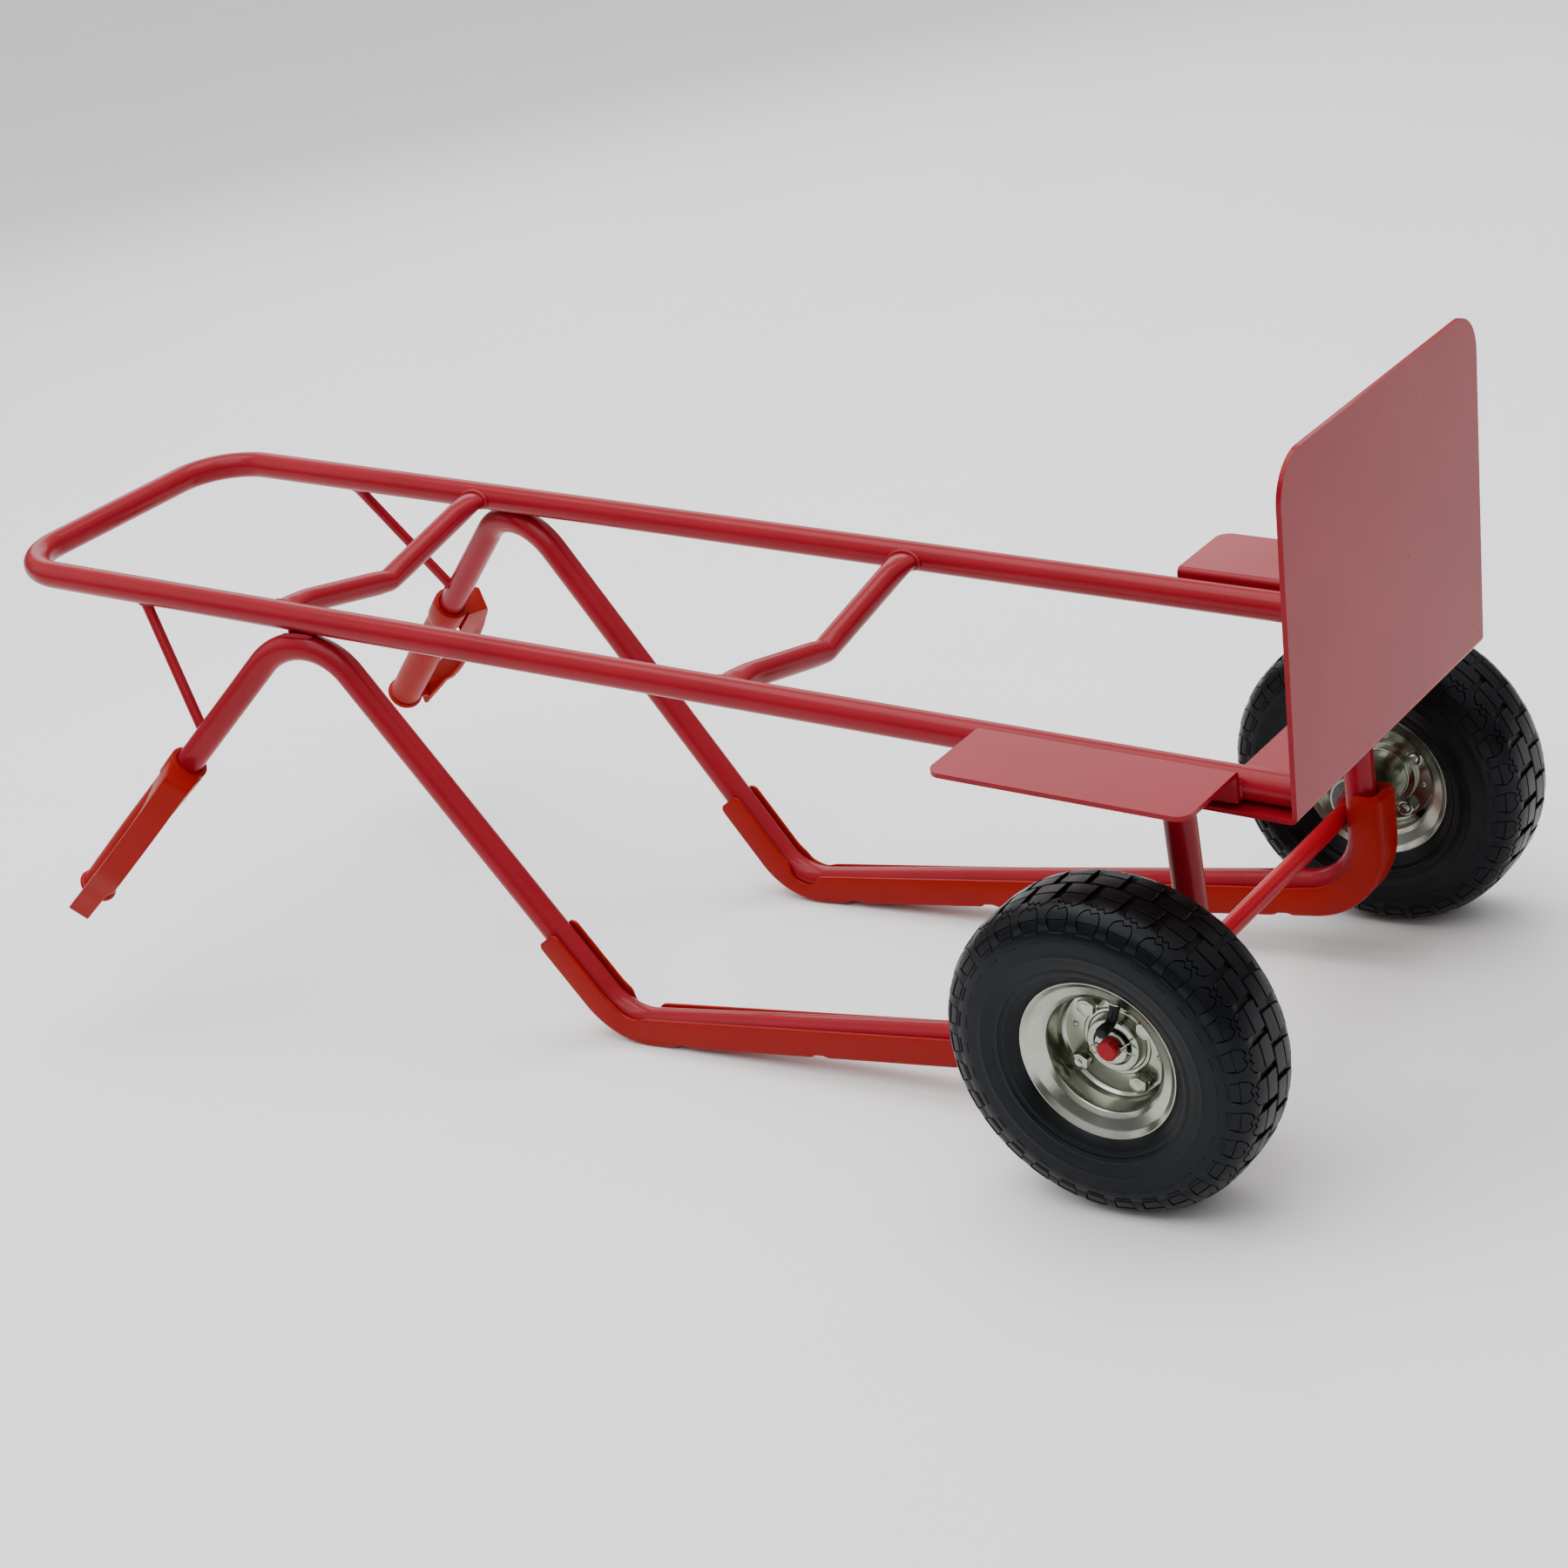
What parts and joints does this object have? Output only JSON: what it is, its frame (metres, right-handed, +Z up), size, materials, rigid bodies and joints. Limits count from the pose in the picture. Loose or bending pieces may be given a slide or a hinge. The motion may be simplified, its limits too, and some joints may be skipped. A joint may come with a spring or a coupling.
{
  "type": "hand truck",
  "caption": "Tubular steel hand truck lying on its wheels and skids: bent frame, L-shaped toe plate, wheel guards, skids with plastic covers and pneumatic wheels.",
  "frame": {"origin": "centre of the bounding box at floor level, with the truck lying on its wheels and skid heels", "axes": "+X towards the toe plate, +Y to the left, +Z up"},
  "size_m": [1.3608, 0.561, 0.5563],
  "materials": {
    "paint": "gloss enamel",
    "red_plastic": "satin moulded",
    "zinc": "zinc plated",
    "steel": "ground",
    "tyre": "moulded rubber",
    "rubber": "moulded rubber"
  },
  "bodies": {
    "frame": {"main_frame_tube": "paint", "upper_cross_bar": "paint", "lower_cross_bar": "paint", "left_side_tube": "paint", "right_side_tube": "paint", "left_handle_strut": "paint", "right_handle_strut": "paint", "toe_plate": "paint", "left_wheel_guard": "paint", "right_wheel_guard": "paint", "axle": "paint", "left_hand_grip": "red_plastic", "right_hand_grip": "red_plastic", "left_skid_cover": "red_plastic", "right_skid_cover": "red_plastic", "left_bearing_inner_races": "steel", "left_axle_washer": "zinc", "left_stop_collar": "paint", "left_split_pin": "zinc", "right_bearing_inner_races": "steel", "right_axle_washer": "zinc", "right_stop_collar": "paint", "right_split_pin": "zinc"},
    "left_wheel": {"left_tyre": "tyre", "left_inner_tube": "rubber", "left_outer_rim": "zinc", "left_inner_rim": "zinc", "left_hub_barrel": "zinc", "left_bearing_outer_races": "steel", "left_bearing_balls": "steel", "left_bearing_shields": "steel", "left_rim_bolts": "zinc", "left_rim_nuts": "zinc", "left_valve_stem": "rubber", "left_valve_cap": "rubber"},
    "right_wheel": {"right_tyre": "tyre", "right_inner_tube": "rubber", "right_outer_rim": "zinc", "right_inner_rim": "zinc", "right_hub_barrel": "zinc", "right_bearing_outer_races": "steel", "right_bearing_balls": "steel", "right_bearing_shields": "steel", "right_rim_bolts": "zinc", "right_rim_nuts": "zinc", "right_valve_stem": "rubber", "right_valve_cap": "rubber"}
  },
  "joints": [
    {"name": "left_wheel_spin", "type": "hinge", "parent": "frame", "child": "left_wheel", "pos_m": [0.52445, 0.238, 0.13], "axis": [0, 1, 0], "continuous": true},
    {"name": "right_wheel_spin", "type": "hinge", "parent": "frame", "child": "right_wheel", "pos_m": [0.52445, -0.238, 0.13], "axis": [0, 1, 0], "continuous": true}
  ]
}
